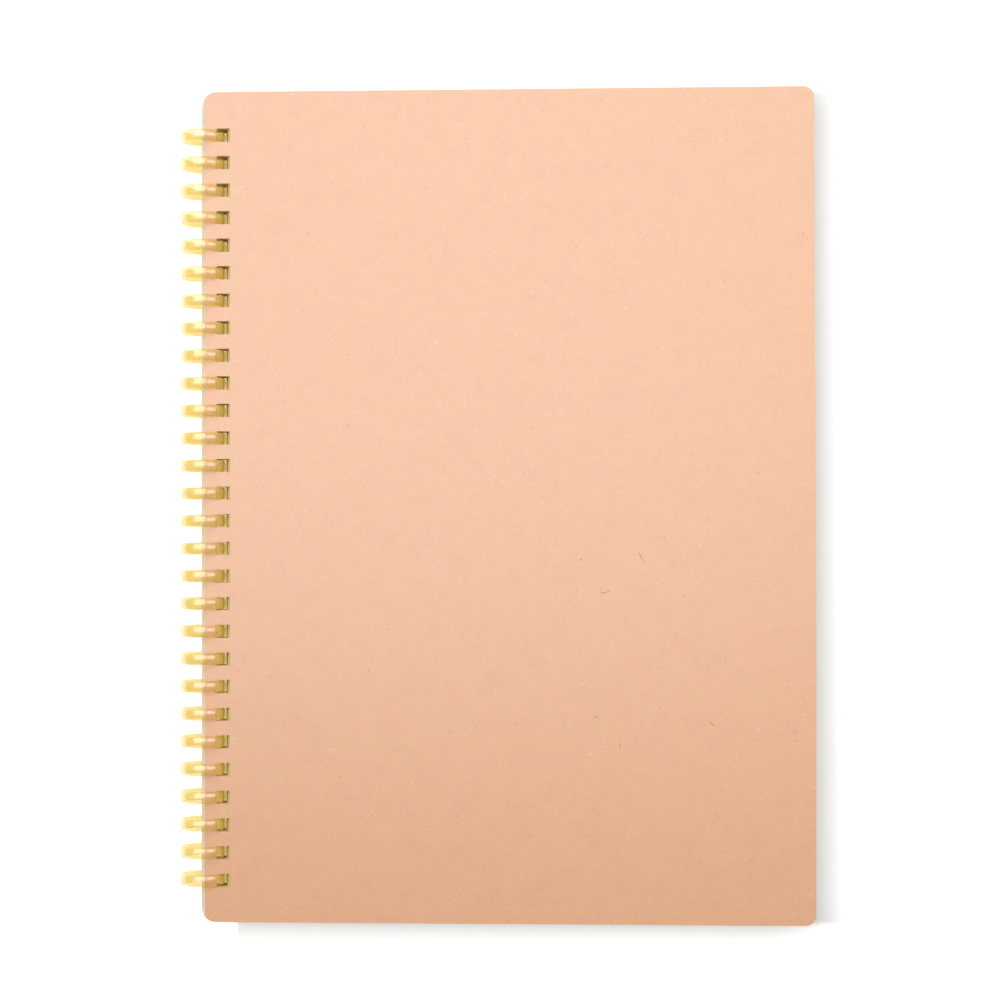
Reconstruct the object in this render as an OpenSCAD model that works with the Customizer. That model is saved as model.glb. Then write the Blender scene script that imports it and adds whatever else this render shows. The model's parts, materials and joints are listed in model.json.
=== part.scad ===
// Ring-bound notebook. Two plain card covers and a block of sheets are punched
// with a row of square holes, and a separate plastic loop runs through each hole.
// The closed book lies on its loops and on the far edge of the back cover.

/* [Sheets] */
// Width of the sheets and covers at mid height, across the binding
sheet_w = 186.5; // [120:0.1:220]
// Length of the sheets and covers, along the binding
sheet_l = 254.7; // [150:0.1:300]
// Number of sheets in the block
sheet_count = 80; // [30:5:90]
// Thickness of one sheet as it lies in the block
sheet_t = 0.096; // [0.08:0.002:0.12]
// Radius of the trimmed corners
corner_r = 3.2; // [1:0.1:8]
// How much less wide the sheets are at their ends, where the fore edge bows back
fore_bow = 0.3; // [0.1:0.05:1]

/* [Covers] */
// Thickness of each card cover
cover_t = 0.6; // [0.4:0.05:1]
// Air between a cover and the sheets
cover_gap = 0.1; // [0.05:0.01:0.2]
// How far the covers have slid on the loops, the front one away from the spine
cover_slip = 1.2; // [0.5:0.05:1.5]

/* [Punching] */
// Distance from the middle of one hole to the next
hole_pitch = 8.467; // [7:0.001:12]
// Size of a hole across the binding
hole_x = 4.2; // [4:0.1:5.5]
// Card left between the spine edge and the holes
hole_margin = 3.5; // [2.5:0.01:5]
// Least distance from the end of a sheet to the middle of the last hole
end_margin = 12.4; // [6:0.1:20]
// How far the row of holes is off the middle of a sheet, towards its head
row_shift = -0.25; // [-2:0.05:2]
// Radius in the corners of a hole
hole_corner_r = 0.35; // [0.1:0.05:0.8]

/* [Loops] */
// Width of a loop, along the binding
loop_w = 3.5; // [2:0.1:4.5]
// Thickness of a loop at its sides
loop_edge_t = 0.4; // [0.2:0.05:0.6]
// Height of the crown on the outer face of a loop
loop_crown = 0.45; // [0.2:0.05:0.7]
// Space in the hole on each side of a loop
side_gap = 0.3; // [0.1:0.05:0.6]
// Space between a loop and the cover edge that it holds
loop_play = 0.15; // [0.05:0.01:0.3]

/* [Hidden] */
loop_fn = 96;
corner_fn = 48;
hole_fn = 16;

// Heights of the stack, from the underside of the back cover up
block_t = sheet_count * sheet_t;
stack_t = block_t + 2 * cover_gap + 2 * cover_t;

// Holes, counted from the foot of the sheet
hole_y = loop_w + 2 * side_gap;
hole_count = floor((sheet_l - 2 * end_margin) / hole_pitch) + 1;
back_hole = hole_margin - cover_slip;
front_hole = hole_margin + cover_slip;

// The axis of the loops is as far from the top edge of the front hole as it is
// from the bottom edge of the back hole, so each loop holds both covers
front_h = (pow(stack_t, 2) + pow(back_hole, 2) - pow(front_hole, 2)) / (2 * stack_t);
back_h = stack_t - front_h;
loop_in = norm([front_hole, front_h]) + loop_play;
loop_out = loop_in + loop_edge_t + loop_crown;
crown_r = (pow(loop_w / 2, 2) + pow(loop_crown, 2)) / (2 * loop_crown);

// Angle at which the book leans from its loops down to its far edge
back_far = sheet_w - cover_slip;
front_far = sheet_w + cover_slip;
lean = asin(loop_out / norm([back_far, back_h])) - atan2(back_h, back_far);

// Middle of the whole width, seen from above
right_x = front_far * cos(lean) + front_h * sin(lean);
middle_x = (right_x - loop_out) / 2;

function loop_name(i) = str("ring_", i < 10 ? "0" : "", i);
function hole_mid(i) = row_shift + (i - (hole_count + 1) / 2) * hole_pitch;

// Rectangle with round corners; its left edge is at x = 0 and it is centred on y
module round_rect(w, l, r, fn) {
    translate([0, r - l / 2]) square([w, l - 2 * r]);
    translate([r, -l / 2]) square([w - 2 * r, l]);
    for (x = [r, w - r], y = [r - l / 2, l / 2 - r])
        translate([x, y]) circle(r, $fn = fn);
}

// Outline of a sheet, with its spine edge at x = 0 and its fore edge bowed outwards
module sheet_outline() {
    straight_w = sheet_w - fore_bow;
    half_l = sheet_l / 2 - corner_r;
    round_rect(straight_w, sheet_l, corner_r, corner_fn);
    polygon(concat([[corner_r, half_l], [corner_r, -half_l]],
        [for (s = [-1 : 0.25 : 1]) [sheet_w - fore_bow * s * s, s * half_l]]));
}

// One card or block of sheets, trimmed and punched
module punched(t) {
    linear_extrude(t) difference() {
        sheet_outline();
        for (i = [1 : hole_count])
            translate([hole_margin, hole_mid(i)])
                round_rect(hole_x, hole_y, hole_corner_r, hole_fn);
    }
}

// Moves the axis of the loops to its place above the surface that the book lies on
module on_surface() {
    translate([-middle_x, 0, loop_out]) children();
}

// Leans the stack about the axis of the loops until its far edge touches the surface
module leaned() {
    on_surface() rotate([0, lean, 0]) children();
}

// Section of a loop: flat inside, crowned outside
module loop_section() {
    intersection() {
        translate([loop_in, -loop_w / 2]) square([loop_edge_t + loop_crown, loop_w]);
        translate([loop_out - crown_r, 0]) circle(crown_r, $fn = loop_fn);
    }
}

module page_block() {
    color([0.99, 0.96, 0.88])
        leaned() translate([0, 0, cover_t + cover_gap - back_h]) punched(block_t);
}

module front_cover() {
    color([0.96, 0.78, 0.66])
        leaned() translate([cover_slip, 0, front_h - cover_t]) punched(cover_t);
}

module back_cover() {
    color([0.96, 0.78, 0.66])
        leaned() translate([-cover_slip, 0, -back_h]) punched(cover_t);
}

module ring(i) {
    color([0.95, 0.84, 0.5])
        on_surface() translate([0, hole_mid(hole_count + 1 - i), 0])
            rotate([90, 0, 0]) rotate_extrude($fn = loop_fn) loop_section();
}

page_block();
front_cover();
back_cover();
for (i = [1 : hole_count])
    ring(i);
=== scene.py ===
"""Looks of the ring-bound notebook: kraft card covers, punched sheets and plastic loops."""
import json
import math
import random

import bpy
from mathutils import Euler, Matrix, Vector


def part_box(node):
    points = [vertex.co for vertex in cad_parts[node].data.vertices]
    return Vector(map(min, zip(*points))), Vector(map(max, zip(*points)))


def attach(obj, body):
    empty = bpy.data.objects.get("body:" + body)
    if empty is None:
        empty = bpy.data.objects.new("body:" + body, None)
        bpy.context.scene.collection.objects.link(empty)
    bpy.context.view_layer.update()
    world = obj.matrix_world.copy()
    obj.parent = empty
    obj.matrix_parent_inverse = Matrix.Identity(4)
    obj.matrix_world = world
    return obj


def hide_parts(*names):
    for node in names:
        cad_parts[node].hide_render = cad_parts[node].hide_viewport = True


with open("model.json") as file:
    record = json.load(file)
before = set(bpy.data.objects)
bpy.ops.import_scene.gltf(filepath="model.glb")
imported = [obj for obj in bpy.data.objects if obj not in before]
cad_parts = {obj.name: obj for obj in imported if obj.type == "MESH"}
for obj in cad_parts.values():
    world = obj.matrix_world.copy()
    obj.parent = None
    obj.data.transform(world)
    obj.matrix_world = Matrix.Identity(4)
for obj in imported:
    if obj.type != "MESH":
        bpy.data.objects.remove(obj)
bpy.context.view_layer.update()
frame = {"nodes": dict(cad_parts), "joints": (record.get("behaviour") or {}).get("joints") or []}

# Named lengths are in millimetres and named angles in degrees, unless a comment says
# otherwise; the frame, and all that Blender is given, is in metres.
MM = 0.001

# Sizes that part.scad names
SHEET_COUNT = 80
SHEET_PITCH = 0.096
LOOP_EDGE = 0.4
LOOP_CROWN = 0.45

# Each sheet is a little thinner than its share of the block, so that no two touch
SHEET_THICKNESS = 0.088

# How far the sheets have slid on the loops: the lowest one, the one below the
# topmost few, and the highest one; and how far any one of them strays
SLIDE_LOWEST = -1.15
SLIDE_UPPER = 0.45
SLIDE_HIGHEST = 0.85
TOPMOST_SHEETS = 8
SHEET_STRAY = 0.07

# Rounding of a loop's inner and outer corners, and the steps in its shape
INNER_ROUNDING = 0.12
OUTER_ROUNDING = 0.26
BEND_STEPS = 4
CROWN_STEPS = 12
LOOP_STEPS = 96

# Loose fibres of the pulp in the face of the front cover: x, y, turn, length and bend
FIBRES = (
    (44.2, -15.8, -64, 3.4, 0.15),
    (65.8, -66.2, -48, 2.3, -0.2),
    (30.4, -64.4, 25, 1.3, 0.1),
    (26.0, -16.5, 54, 1.3, 0.1),
    (33.2, -26.2, 11, 3.2, -0.3),
    (37.9, -72.9, 83, 1.5, 0.1),
    (-45.3, 24.6, 70, 1.0, 0.1),
    (51.3, -9.6, -20, 0.5, 0.0))
FIBRE_WIDTH = 0.15
FIBRE_HEIGHT = 0.03
FIBRE_TAPER = 0.9
FIBRE_STEPS = 10

# Kraft card
CARD_PALE = (0.83, 0.432, 0.226, 1)
CARD_DEEP = (0.785, 0.395, 0.203, 1)
CARD_PINK = (0.825, 0.405, 0.226, 1)
CARD_YELLOW = (0.81, 0.45, 0.203, 1)
CARD_FLECK = (0.92, 0.60, 0.40, 1)
CARD_DARK = (0.40, 0.10, 0.03, 1)
CARD_ROUGH = 0.313
CARD_ROUGH_SPREAD = 0.02
CARD_IOR = 1.6
CARD_SPECULAR = 1.0
HAIR_DARK = (0.36, 0.10, 0.03, 1)
HAIR_PALE = (0.60, 0.25, 0.10, 1)

# Writing paper
PAPER_PALE = (0.91, 0.85, 0.725, 1)
PAPER_DEEP = (0.88, 0.81, 0.675, 1)
# Painted yellow light on the sheets in the holes, standing in for light through the loops
PAINTED_LOOP_LIGHT_ON_PAPER = (0.90, 0.72, 0.32, 1)

# Plastic of the loops
PLASTIC_PALE = (1.0, 0.875, 0.44, 1)
PLASTIC_DEEP = (1.0, 0.855, 0.41, 1)
PLASTIC_CLEAR = 0.84
PLASTIC_IOR = 1.04
COAT_ROUGH = 0.27
COAT_IOR = 2.3

# Floor: the strength of its own light beside the book, beside the spine and far away, and the colour
# of that light under the loops, a painted yellow light that stands in for light through the loops
FLOOR_GLOW = 0.334
SPINE_GLOW = 0.5
FAR_GLOW = 0.6
PAINTED_LOOP_LIGHT_ON_FLOOR = (0.48, 0.47, 0.20, 1)
# Half the side of the floor, in metres
FLOOR_REACH = 6
# Distances outwards from an edge of the book between which that light changes; where it fades
# towards the book it paints a soft shadow, broad beside the fore edge
RISE_AT_FORE_EDGE = (-1.0, 16.0)
RISE_AT_FOOT = (-1.0, 2.0)
RISE_AT_HEAD = (-1.0, 1.0)
RISE_UNDER_SPINE = (-12.0, -7.0)
RISE_PAST_SPINE = (0.3, 1.3)
# The same for the far glow, but from the middle of the floor
RISE_FAR_AWAY = (250.0, 1500.0)

# Strength of the even light of the room
ROOM_LIGHT = 0.27

# Camera
LENS = 86.32
SENSOR = 36.0
CAMERA_PLACE = (42.45, -7.5, 740)
CAMERA_TURN = (0.72, 3.214, -0.075)
# In metres
CLIP_START = 0.01

# The book's own frame, in metres
# Its axis is the axis of the loops; u runs across the sheets, n up through them.
HINGE = Vector(frame["joints"][0]["pos_m"])


def top_normal(node):
    """The direction of the largest face of a CAD node that looks up."""
    faces = [p for p in frame["nodes"][node].data.polygons if p.normal.z > 0.5]
    return max(faces, key=lambda p: p.area).normal.copy()


BOOK_N = top_normal("front_cover").normalized()
BOOK_U = Vector((BOOK_N.z, 0, -BOOK_N.x))
TO_BOOK = Matrix((
    (*BOOK_U, -BOOK_U.dot(HINGE)),
    (0, 1, 0, 0),
    (*BOOK_N, -BOOK_N.dot(HINGE)),
    (0, 0, 0, 1)))
FROM_BOOK = TO_BOOK.inverted()

# The zone of a hole in which the sheets' colour is tinted with painted yellow light from the loops:
# the middle of the first one, the distance to the next, its half length and half width, and the
# width of its rim
HOLES_FROM_AXIS = 5.3
HOLES_X = HINGE.x / MM + HOLES_FROM_AXIS
HOLES_Y = (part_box("ring_01")[0][1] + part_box("ring_01")[1][1]) / 2 / MM
HOLE_PITCH = (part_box("ring_01")[0][1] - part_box("ring_02")[0][1]) / MM
HOLE_REACH_X = 3.6
HOLE_REACH_Y = 2.1
HOLE_RIM = 0.1


def book_box(node):
    """Lowest and highest corner of a CAD node in the book's own frame."""
    points = [TO_BOOK @ v.co for v in frame["nodes"][node].data.vertices]
    return (Vector(min(p[i] for p in points) for i in range(3)),
            Vector(max(p[i] for p in points) for i in range(3)))


def add_mesh(name, points, faces, smooth):
    """A new object in the scene; its points are in metres."""
    mesh = bpy.data.meshes.new(name)
    mesh.from_pydata(points, [], faces)
    mesh.validate()
    for face in mesh.polygons:
        face.use_smooth = smooth
    piece = bpy.data.objects.new(name, mesh)
    bpy.context.scene.collection.objects.link(piece)
    return piece


def dress(piece, material):
    """Gives a new piece its material."""
    piece.data.materials.clear()
    piece.data.materials.append(material)


# Materials
class Graph:
    """A node material that is built up call by call."""

    def __init__(self, name):
        self.material = bpy.data.materials.new(name)
        self.material.use_nodes = True
        self.tree = self.material.node_tree
        self.tree.nodes.clear()
        self.output = self.node("ShaderNodeOutputMaterial")
        self.shader = self.node("ShaderNodeBsdfPrincipled")
        self.put(self.output.inputs["Surface"], self.shader.outputs["BSDF"])

    def node(self, kind, **settings):
        made = self.tree.nodes.new(kind)
        for key, value in settings.items():
            setattr(made, key, value)
        return made

    def put(self, socket, value):
        if isinstance(value, bpy.types.NodeSocket):
            self.tree.links.new(value, socket)
        else:
            socket.default_value = value

    def set(self, **values):
        for key, value in values.items():
            self.put(self.shader.inputs[key.replace("_", " ")], value)

    def math(self, operation, a, b=0.0):
        made = self.node("ShaderNodeMath", operation=operation)
        self.put(made.inputs[0], a)
        self.put(made.inputs[1], b)
        return made.outputs[0]

    def vector(self, operation, a, b=(0, 0, 0), scale=None):
        made = self.node("ShaderNodeVectorMath", operation=operation)
        self.put(made.inputs[0], a)
        self.put(made.inputs[1], b)
        if scale is not None:
            self.put(made.inputs["Scale"], scale)
        return made.outputs["Value" if operation in ("DOT_PRODUCT", "LENGTH") else "Vector"]

    def parts(self, value, kind="XYZ"):
        """The three parts of a place, or of a colour where kind is Color."""
        made = self.node("ShaderNodeSeparate" + kind)
        self.put(made.inputs[0], value)
        return made.outputs[0], made.outputs[1], made.outputs[2]

    def ramp(self, value, low, high, to_low=0.0, to_high=1.0):
        """value from low to high, smoothly turned into to_low to to_high."""
        made = self.node("ShaderNodeMapRange", interpolation_type="SMOOTHSTEP")
        for socket, given in zip(made.inputs, (value, low, high, to_low, to_high)):
            self.put(socket, given)
        return made.outputs["Result"]

    def mix(self, factor, a, b, blend="MIX"):
        made = self.node("ShaderNodeMix", data_type="RGBA", blend_type=blend, clamp_factor=True)
        self.put(made.inputs[0], factor)
        self.put(made.inputs[6], a)
        self.put(made.inputs[7], b)
        return made.outputs[2]

    def noise(self, vector, scale, detail=2.0, roughness=0.5, output="Fac"):
        made = self.node("ShaderNodeTexNoise")
        self.put(made.inputs["Vector"], vector)
        self.put(made.inputs["Scale"], scale)
        self.put(made.inputs["Detail"], detail)
        self.put(made.inputs["Roughness"], roughness)
        return made.outputs[output]

    def cells(self, vector, scale):
        made = self.node("ShaderNodeTexVoronoi", voronoi_dimensions="3D")
        self.put(made.inputs["Vector"], vector)
        self.put(made.inputs["Scale"], scale)
        return made.outputs

    def position(self):
        """Where the point is on its piece, in millimetres."""
        return self.vector("SCALE", self.node("ShaderNodeTexCoord").outputs["Object"],
                           scale=1 / MM)

    def bump(self, height, strength, distance):
        made = self.node("ShaderNodeBump")
        self.put(made.inputs["Height"], height)
        self.put(made.inputs["Strength"], strength)
        self.put(made.inputs["Distance"], distance * MM)
        self.put(self.shader.inputs["Normal"], made.outputs["Normal"])


def grey(value):
    return (value, value, value, 1.0)


def specks(graph, where, scale, share, size, soft):
    """Round specks in a share of the cells; 1 on a speck. size and soft are in cells."""
    cell = graph.cells(where, scale)
    red, green, _ = graph.parts(cell["Color"], "Color")
    chosen = graph.math("GREATER_THAN", red, 1 - share)
    radius = graph.math("MULTIPLY", green, size)
    inside = graph.math("SUBTRACT", radius, cell["Distance"])
    return graph.math("MULTIPLY", chosen, graph.ramp(inside, 0.0, soft))


def fibres(graph, where, scale, share, length, width):
    """Short bent fibres in a share of the cells, flat and turned any way; 1 on a fibre."""
    cell = graph.cells(where, scale)
    red, green, blue = graph.parts(cell["Color"], "Color")
    chosen = graph.math("GREATER_THAN", red, 1 - share)
    # From the middle of the cell, in the same millimetres as where
    arm_x, arm_y, _ = graph.parts(graph.vector("SUBTRACT", where, cell["Position"]))
    turn = graph.math("MULTIPLY", green, 2 * math.pi)
    cos, sin = graph.math("COSINE", turn), graph.math("SINE", turn)
    along = graph.math("ADD", graph.math("MULTIPLY", arm_x, cos),
                       graph.math("MULTIPLY", arm_y, sin))
    across = graph.math("SUBTRACT", graph.math("MULTIPLY", arm_y, cos),
                        graph.math("MULTIPLY", arm_x, sin))
    bend = graph.math("MULTIPLY", graph.math("MULTIPLY", along, along),
                      graph.math("SUBTRACT", blue, 0.5))
    across = graph.math("ABSOLUTE", graph.math("ADD", across, bend))
    thin = graph.ramp(across, width * 0.5, width, 1.0, 0.0)
    short = graph.ramp(graph.math("ABSOLUTE", along), length * 0.4, length * 0.5, 1.0, 0.0)
    return graph.math("MULTIPLY", chosen, graph.math("MULTIPLY", thin, short))


def card_material():
    """Uncoated kraft card: cloudy pulp, fine grain, pale and dark flecks and a few hairs."""
    g = Graph("kraft_card")
    p = g.position()
    clouds = g.noise(p, scale=0.16, detail=3.0, roughness=0.55)
    patches = g.noise(p, scale=0.35)
    mottle = g.noise(p, scale=0.9, detail=4.0, roughness=0.62)
    pulp = g.noise(g.vector("MULTIPLY", p, (1.0, 1.7, 1.0)), scale=1.7, detail=3.0, roughness=0.6)
    grain = g.noise(p, scale=4.5, detail=3.0, roughness=0.6)
    colour = g.mix(g.ramp(clouds, 0.3, 0.7), CARD_DEEP, CARD_PALE)
    colour = g.mix(g.ramp(patches, 0.38, 0.62, to_high=0.75), colour, CARD_YELLOW)
    colour = g.mix(g.ramp(mottle, 0.36, 0.64, to_high=0.8), colour, CARD_PINK)
    colour = g.mix(g.ramp(grain, 0.25, 0.75), colour, grey(0.965), "MULTIPLY")
    # Pale and dark bits of pulp
    colour = g.mix(g.ramp(pulp, 0.6, 0.75, to_high=0.32), colour, CARD_FLECK)
    colour = g.mix(g.ramp(pulp, 0.4, 0.27, to_high=0.16), colour, CARD_DARK)
    # Smaller flecks and hairs, pushed a little out of their plain shapes
    stray = g.vector("SUBTRACT", g.noise(p, scale=1.7, output="Color"), (0.5, 0.5, 0.5))
    bent = g.vector("ADD", p, g.vector("SCALE", stray, scale=1.1))
    for mask, strength, tint in (
            (specks(g, bent, scale=0.9, share=0.16, size=0.4, soft=0.16), 0.42, CARD_FLECK),
            (fibres(g, bent, scale=0.55, share=0.1, length=1.4, width=0.13), 0.3, CARD_FLECK),
            (specks(g, bent, scale=0.8, share=0.05, size=0.33, soft=0.15), 0.3, CARD_DARK),
            (fibres(g, bent, scale=0.2, share=0.08, length=1.4, width=0.11), 0.3, CARD_DARK)):
        colour = g.mix(g.math("MULTIPLY", mask, strength), colour, tint)
    # The cut edges show the pulp inside, in fine layers
    normal = g.node("ShaderNodeTexCoord").outputs["Normal"]
    facing = g.math("ABSOLUTE", g.vector("DOT_PRODUCT", normal, tuple(BOOK_N)))
    layers = g.noise(g.vector("MULTIPLY", p, (1.0, 1.0, 14.0)), scale=0.8, detail=3.0,
                     roughness=0.6)
    edge = g.mix(g.ramp(layers, 0.3, 0.7), CARD_DEEP, CARD_PALE)
    colour = g.mix(g.ramp(facing, 0.4, 0.8), edge, colour)
    rough = g.ramp(mottle, 0.3, 0.7, CARD_ROUGH - CARD_ROUGH_SPREAD, CARD_ROUGH + CARD_ROUGH_SPREAD)
    g.set(Base_Color=colour, IOR=CARD_IOR, Specular_IOR_Level=CARD_SPECULAR, Roughness=rough)
    g.bump(g.math("ADD", grain, mottle), strength=0.2, distance=0.03)
    return g.material


def in_holes(graph, where):
    """1 where the point lies in the zone of one of the holes."""
    x, y, _ = graph.parts(where)
    across = graph.math("ABSOLUTE", graph.math("SUBTRACT", x, HOLES_X))
    along = graph.math("SUBTRACT", y, HOLES_Y - HOLE_PITCH / 2)
    along = graph.math("FLOORED_MODULO", along, HOLE_PITCH)
    along = graph.math("ABSOLUTE", graph.math("SUBTRACT", along, HOLE_PITCH / 2))
    return graph.math(
        "MULTIPLY", graph.ramp(across, HOLE_REACH_X, HOLE_REACH_X + HOLE_RIM, 1.0, 0.0),
        graph.ramp(along, HOLE_REACH_Y, HOLE_REACH_Y + HOLE_RIM, 1.0, 0.0))


def paper_material():
    """Cream writing paper: each sheet a little different, with a very fine tooth and painted yellow
    light in the holes.
    """
    g = Graph("cream_paper")
    p = g.position()
    clouds = g.noise(p, scale=0.5, detail=3.0, roughness=0.6)
    grain = g.noise(p, scale=5.0, detail=3.0, roughness=0.6)
    island = g.node("ShaderNodeNewGeometry").outputs["Random Per Island"]
    colour = g.mix(g.ramp(clouds, 0.3, 0.7), PAPER_DEEP, PAPER_PALE)
    colour = g.mix(g.ramp(island, 0.0, 1.0), colour, grey(0.93), "MULTIPLY")
    # In the holes the sheets' colour is tinted yellow: painted light that stands in for the light
    # coming through the loops
    colour = g.mix(in_holes(g, p), colour, PAINTED_LOOP_LIGHT_ON_PAPER, "MULTIPLY")
    g.set(Base_Color=colour, Roughness=g.ramp(grain, 0.3, 0.7, 0.8, 0.88))
    g.bump(grain, strength=0.15, distance=0.02)
    return g.material


def plastic_material(gloss):
    """Yellow plastic with faint flow marks from the mould.

    It is a little hazy under a soft gloss, or fully clear and without a coat where gloss is 0.
    """
    g = Graph("yellow_plastic" if gloss else "yellow_plastic_inside")
    p = g.position()
    flow = g.noise(g.vector("MULTIPLY", p, (1.0, 0.35, 1.0)), scale=0.7)
    tooth = g.noise(p, scale=6.0)
    colour = g.mix(g.ramp(flow, 0.3, 0.7), PLASTIC_DEEP, PLASTIC_PALE)
    g.set(Base_Color=colour, Roughness=g.ramp(tooth, 0.3, 0.7, 0.1, 0.14),
          IOR=PLASTIC_IOR, Transmission_Weight=PLASTIC_CLEAR if gloss else 1.0,
          Coat_Weight=gloss, Coat_Roughness=COAT_ROUGH, Coat_IOR=COAT_IOR)
    g.bump(flow, strength=0.1, distance=0.05)
    return g.material


def hair_material():
    """Brown fibre of the pulp, paler in places along its length."""
    g = Graph("pulp_fibre")
    along = g.noise(g.position(), scale=1.5)
    g.set(Base_Color=g.mix(g.ramp(along, 0.3, 0.7), HAIR_DARK, HAIR_PALE),
          Roughness=0.6, Specular_IOR_Level=0.1)
    return g.material


def floor_material():
    """A white backdrop that has its own light, which fades out towards and under the book as a
    painted soft shadow and turns yellow under the loops as painted light.
    """
    g = Graph("pale_floor")
    p = g.position()
    low = Vector(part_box("page_block")[0]) / MM
    high = Vector(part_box("front_cover")[1]) / MM
    x, y, _ = g.parts(p)
    # How far the point lies outside each edge of the book
    spine = g.math("SUBTRACT", low.x, x)
    fore_edge = g.math("SUBTRACT", x, high.x)
    foot = g.math("SUBTRACT", low.y, y)
    head = g.math("SUBTRACT", y, high.y)
    glow = g.math("MULTIPLY", g.ramp(spine, *RISE_UNDER_SPINE),
                  g.ramp(spine, *RISE_PAST_SPINE, 1.0, SPINE_GLOW))
    # The glow fades towards the book's edges, which paints a soft shadow beside them, broad at the
    # fore edge
    for distance, rise in (
            (fore_edge, RISE_AT_FORE_EDGE), (foot, RISE_AT_FOOT), (head, RISE_AT_HEAD)):
        glow = g.math("MAXIMUM", glow, g.ramp(distance, *rise, 0.0, FLOOR_GLOW))
    # Far from the book the lights are weak, so the glow makes up for them
    far_glow = g.ramp(g.vector("LENGTH", p), *RISE_FAR_AWAY, 0.0, FAR_GLOW)
    beside = spine
    for distance in (fore_edge, head, foot):
        beside = g.math("MAXIMUM", beside, distance)
    # Under the loops the glow is yellow: painted light that stands in for light through the loops
    g.set(Base_Color=g.mix(g.noise(p, scale=0.01), grey(0.86), grey(0.88)),
          Roughness=0.95, Specular_IOR_Level=0.0,
          Emission_Color=g.mix(g.ramp(beside, *RISE_PAST_SPINE), PAINTED_LOOP_LIGHT_ON_FLOOR, grey(1.0)),
          Emission_Strength=g.math("ADD", glow, far_glow))
    return g.material


card, paper = card_material(), paper_material()
plastic, plastic_inside = plastic_material(1.0), plastic_material(0.0)

# Covers
for cover in ("front_cover", "back_cover"):
    frame["nodes"][cover].data.materials.clear()
    frame["nodes"][cover].data.materials.append(card)


# Fibres in the front cover
def make_fibres():
    """Thin bent fibres that taper to both ends, half sunk in the card."""
    top = book_box("front_cover")[1].z
    points, faces = [], []
    for x, y, turn, length, bend in FIBRES:
        first = len(points)
        place = TO_BOOK @ Vector((x * MM, y * MM, 0))
        way = Vector((math.cos(math.radians(turn)), math.sin(math.radians(turn)), 0))
        aside = Vector((-way.y, way.x, 0))
        for step in range(FIBRE_STEPS + 1):
            t = 2 * step / FIBRE_STEPS - 1
            thick = math.sqrt(1 - FIBRE_TAPER * t * t)
            for a, b in ((-1, -1), (1, -1), (1, 1), (-1, 1)):
                flat = way * length / 2 * t + aside * (
                    bend * (1 - t * t) + a * FIBRE_WIDTH / 2 * thick)
                points.append(FROM_BOOK @ Vector((
                    place.x + flat.x * MM, place.y + flat.y * MM,
                    top + b * FIBRE_HEIGHT / 2 * thick * MM)))
        for step in range(FIBRE_STEPS):
            here = first + 4 * step
            for k in range(4):
                after = (k + 1) % 4
                faces.append((here + k, here + after, here + 4 + after, here + 4 + k))
        faces.append((first + 3, first + 2, first + 1, first))
        last = first + 4 * FIBRE_STEPS
        faces.append((last, last + 1, last + 2, last + 3))
    hairs = add_mesh("pulp_fibres", points, faces, True)
    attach(hairs, "front")
    dress(hairs, hair_material())


make_fibres()


# Sheets
def sheet_slide(sheet):
    """How far across the book a sheet has slid, counted from the lowest one."""
    from_top = SHEET_COUNT - 1 - sheet
    if from_top < TOPMOST_SHEETS:
        return SLIDE_HIGHEST + from_top / TOPMOST_SHEETS * (SLIDE_UPPER - SLIDE_HIGHEST)
    rise = sheet / (SHEET_COUNT - 1 - TOPMOST_SHEETS)
    return SLIDE_LOWEST + rise * (SLIDE_UPPER - SLIDE_LOWEST)


def make_sheets():
    """Every sheet of the block, a thin punched copy of the block's own outline.

    The sheets have slid on the loops between the covers, more and more from the lowest up,
    and each strays a little from its place.
    """
    chance = random.Random(7)
    block = frame["nodes"]["page_block"].data
    low, high = book_box("page_block")
    corners = [TO_BOOK @ v.co for v in block.vertices]
    points, faces = [], []
    for sheet in range(SHEET_COUNT):
        base = low.z + sheet * SHEET_PITCH * MM
        across = (sheet_slide(sheet) + chance.uniform(-SHEET_STRAY, SHEET_STRAY)) * MM
        along = chance.uniform(-SHEET_STRAY, SHEET_STRAY) * MM
        first = len(points)
        for c in corners:
            up = (c.z - low.z) / (high.z - low.z)
            place = Vector((c.x + across, c.y + along, base + up * SHEET_THICKNESS * MM))
            points.append(FROM_BOOK @ place)
        for face in block.polygons:
            faces.append([first + v for v in face.vertices])
    sheets = add_mesh("sheets", points, faces, False)
    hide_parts("page_block")
    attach(sheets, "block")
    dress(sheets, paper)


make_sheets()


# Loops
def curve(start, middle, end):
    """Points on a bend from start to end that heads for middle, without the end point."""
    for step in range(BEND_STEPS):
        t = step / BEND_STEPS
        yield tuple((1 - t) ** 2 * s + 2 * t * (1 - t) * m + t * t * e
                    for s, m, e in zip(start, middle, end))


def loop_section(inner, width):
    """Points round the section of a loop, as (along the binding, out from the axis)."""
    half = width / 2
    rise = LOOP_CROWN * MM
    radius = (half ** 2 + rise ** 2) / (2 * rise)
    edge = inner + LOOP_EDGE * MM
    inside, outside = INNER_ROUNDING * MM, OUTER_ROUNDING * MM

    def crown(y):
        return edge + rise - radius + math.sqrt(radius ** 2 - y ** 2)

    side = []
    side += curve((half - inside, inner), (half, inner), (half, inner + inside))
    side += curve((half, edge - outside), (half, edge), (half - outside, crown(half - outside)))
    top = [(y, crown(y)) for y in (
        (half - outside) * math.cos(math.pi * k / CROWN_STEPS) for k in range(CROWN_STEPS + 1))]
    return side + top + [(-y, r) for y, r in reversed(side)]


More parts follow.
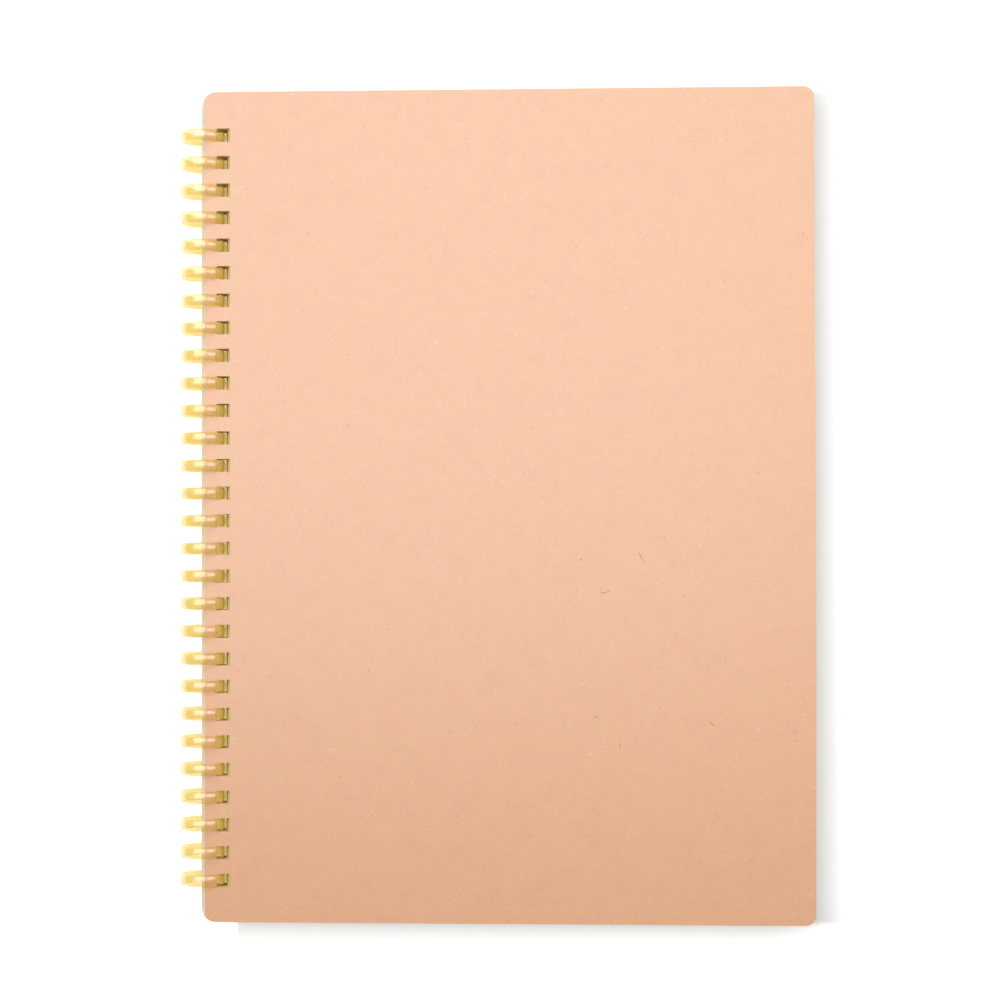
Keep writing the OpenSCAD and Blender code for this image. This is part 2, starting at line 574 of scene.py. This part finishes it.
def make_loop(node):
    """One loop: its section turned once round the axis, with a clear inner face."""
    low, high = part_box(node)
    outer = (high[2] - low[2]) / 2
    middle = (low[1] + high[1]) / 2
    section = loop_section(outer - (LOOP_EDGE + LOOP_CROWN) * MM, high[1] - low[1])
    count = len(section)
    points, faces = [], []
    for step in range(LOOP_STEPS):
        angle = 2 * math.pi * step / LOOP_STEPS
        for y, r in section:
            points.append((HINGE.x + r * math.cos(angle), middle + y, HINGE.z + r * math.sin(angle)))
    for step in range(LOOP_STEPS):
        here, there = step * count, (step + 1) % LOOP_STEPS * count
        for k in range(count):
            after = (k + 1) % count
            faces.append((here + k, there + k, there + after, here + after))
    loop = add_mesh("loop" + node[4:], points, faces, True)
    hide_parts(node)
    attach(loop, "block")
    dress(loop, plastic)
    loop.data.materials.append(plastic_inside)
    inner_part = outer - (LOOP_CROWN + LOOP_EDGE / 2) * MM
    for face in loop.data.polygons:
        if math.hypot(face.center.x - HINGE.x, face.center.z - HINGE.z) < inner_part:
            face.material_index = 1


for node in sorted(frame["nodes"]):
    if node.startswith("ring_"):
        make_loop(node)

# Floor, lights and camera
floor = add_mesh("floor", [
    (x * FLOOR_REACH, y * FLOOR_REACH, 0) for x, y in ((-1, -1), (1, -1), (1, 1), (-1, 1))],
    [(0, 1, 2, 3)], False)
floor.data.materials.append(floor_material())


def soft_light(name, place, size, power):
    """A rectangular soft light that faces the middle of the book.

    place and size, which is along x and along y, are in metres; power is in watts.
    """
    data = bpy.data.lights.new(name, "AREA")
    data.shape = "RECTANGLE"
    data.size, data.size_y = size
    data.energy = power
    light = bpy.data.objects.new(name, data)
    light.location = place
    back = Vector(place).normalized()
    across = Vector((0, 1, 0)).cross(back).normalized()
    light.rotation_euler = Matrix((across, back.cross(across), back)).transposed().to_euler()
    bpy.context.scene.collection.objects.link(light)


soft_light("key", place=(-0.22, 0.342, 1.03), size=(1.2, 1.08), power=9.2)
soft_light("side", place=(0.816, 0.277, 0.684), size=(0.95, 0.55), power=4.2)


def light_room():
    """An even white light from all round."""
    world = bpy.data.worlds.new("room")
    world.use_nodes = True
    background = world.node_tree.nodes["Background"]
    background.inputs["Color"].default_value = grey(1.0)
    background.inputs["Strength"].default_value = ROOM_LIGHT
    bpy.context.scene.world = world


def make_camera():
    """The photograph's view, from nearly straight above."""
    lens = bpy.data.cameras.new("camera")
    lens.lens = LENS
    lens.sensor_width = SENSOR
    lens.clip_start = CLIP_START
    camera = bpy.data.objects.new("camera", lens)
    camera.location = Vector(CAMERA_PLACE) * MM
    camera.rotation_euler = Euler([math.radians(angle) for angle in CAMERA_TURN])
    bpy.context.scene.collection.objects.link(camera)
    bpy.context.scene.camera = camera


light_room()
make_camera()
bpy.context.scene.view_settings.view_transform = "Standard"
bpy.context.scene.view_settings.exposure = 0.0
